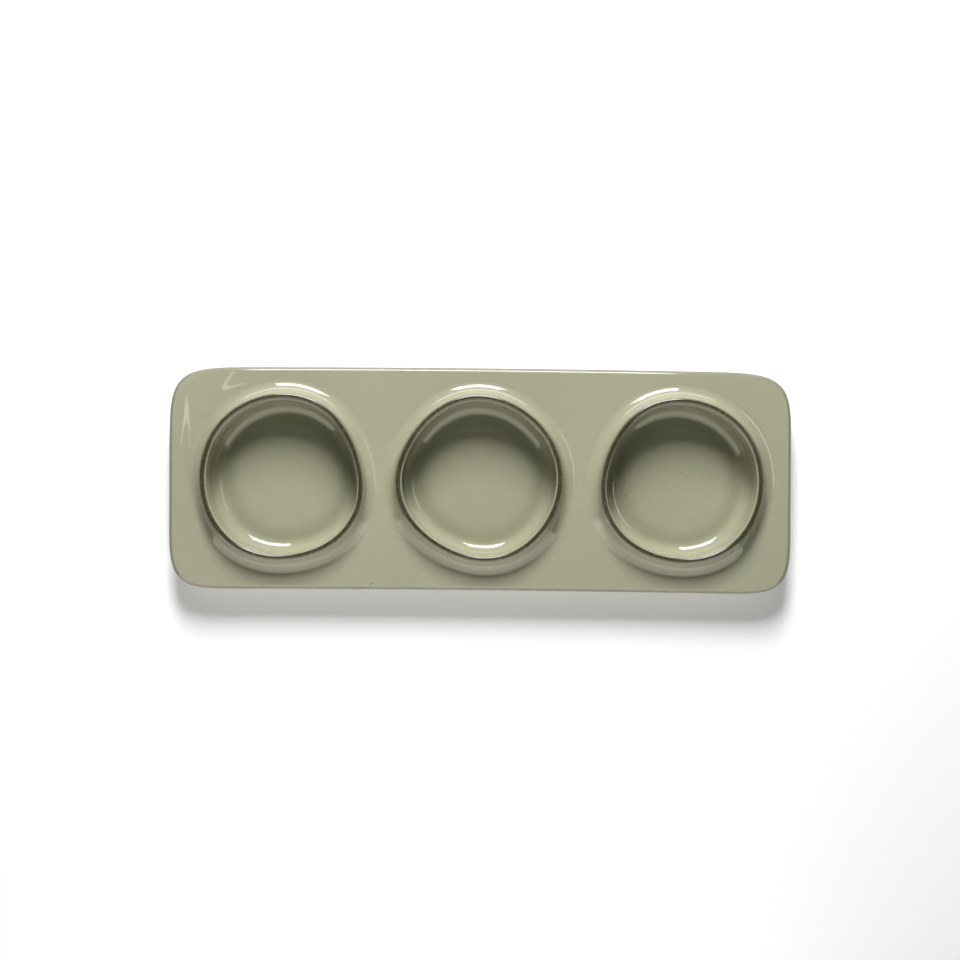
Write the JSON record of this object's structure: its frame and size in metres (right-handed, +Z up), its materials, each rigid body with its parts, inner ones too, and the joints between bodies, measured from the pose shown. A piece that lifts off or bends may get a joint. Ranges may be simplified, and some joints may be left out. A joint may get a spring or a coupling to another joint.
{
  "type": "relish tray",
  "caption": "Long glazed stoneware relish tray with a row of round cups set in smoothed mounds, open underneath.",
  "frame": {"origin": "on the table, under the middle of the tray's bounding box", "axes": "+X along the row of cups, +Y to the back, +Z up"},
  "size_m": [0.3566, 0.1302, 0.0315],
  "materials": {
    "sage_glaze": "gloss",
    "cup_glaze": "gloss"
  },
  "bodies": {
    "root": {"deck": "sage_glaze", "apron": "sage_glaze", "cup_left": "cup_glaze", "cup_middle": "cup_glaze", "cup_right": "cup_glaze", "collar_left": "sage_glaze", "collar_middle": "sage_glaze", "collar_right": "sage_glaze"}
  },
  "joints": []
}
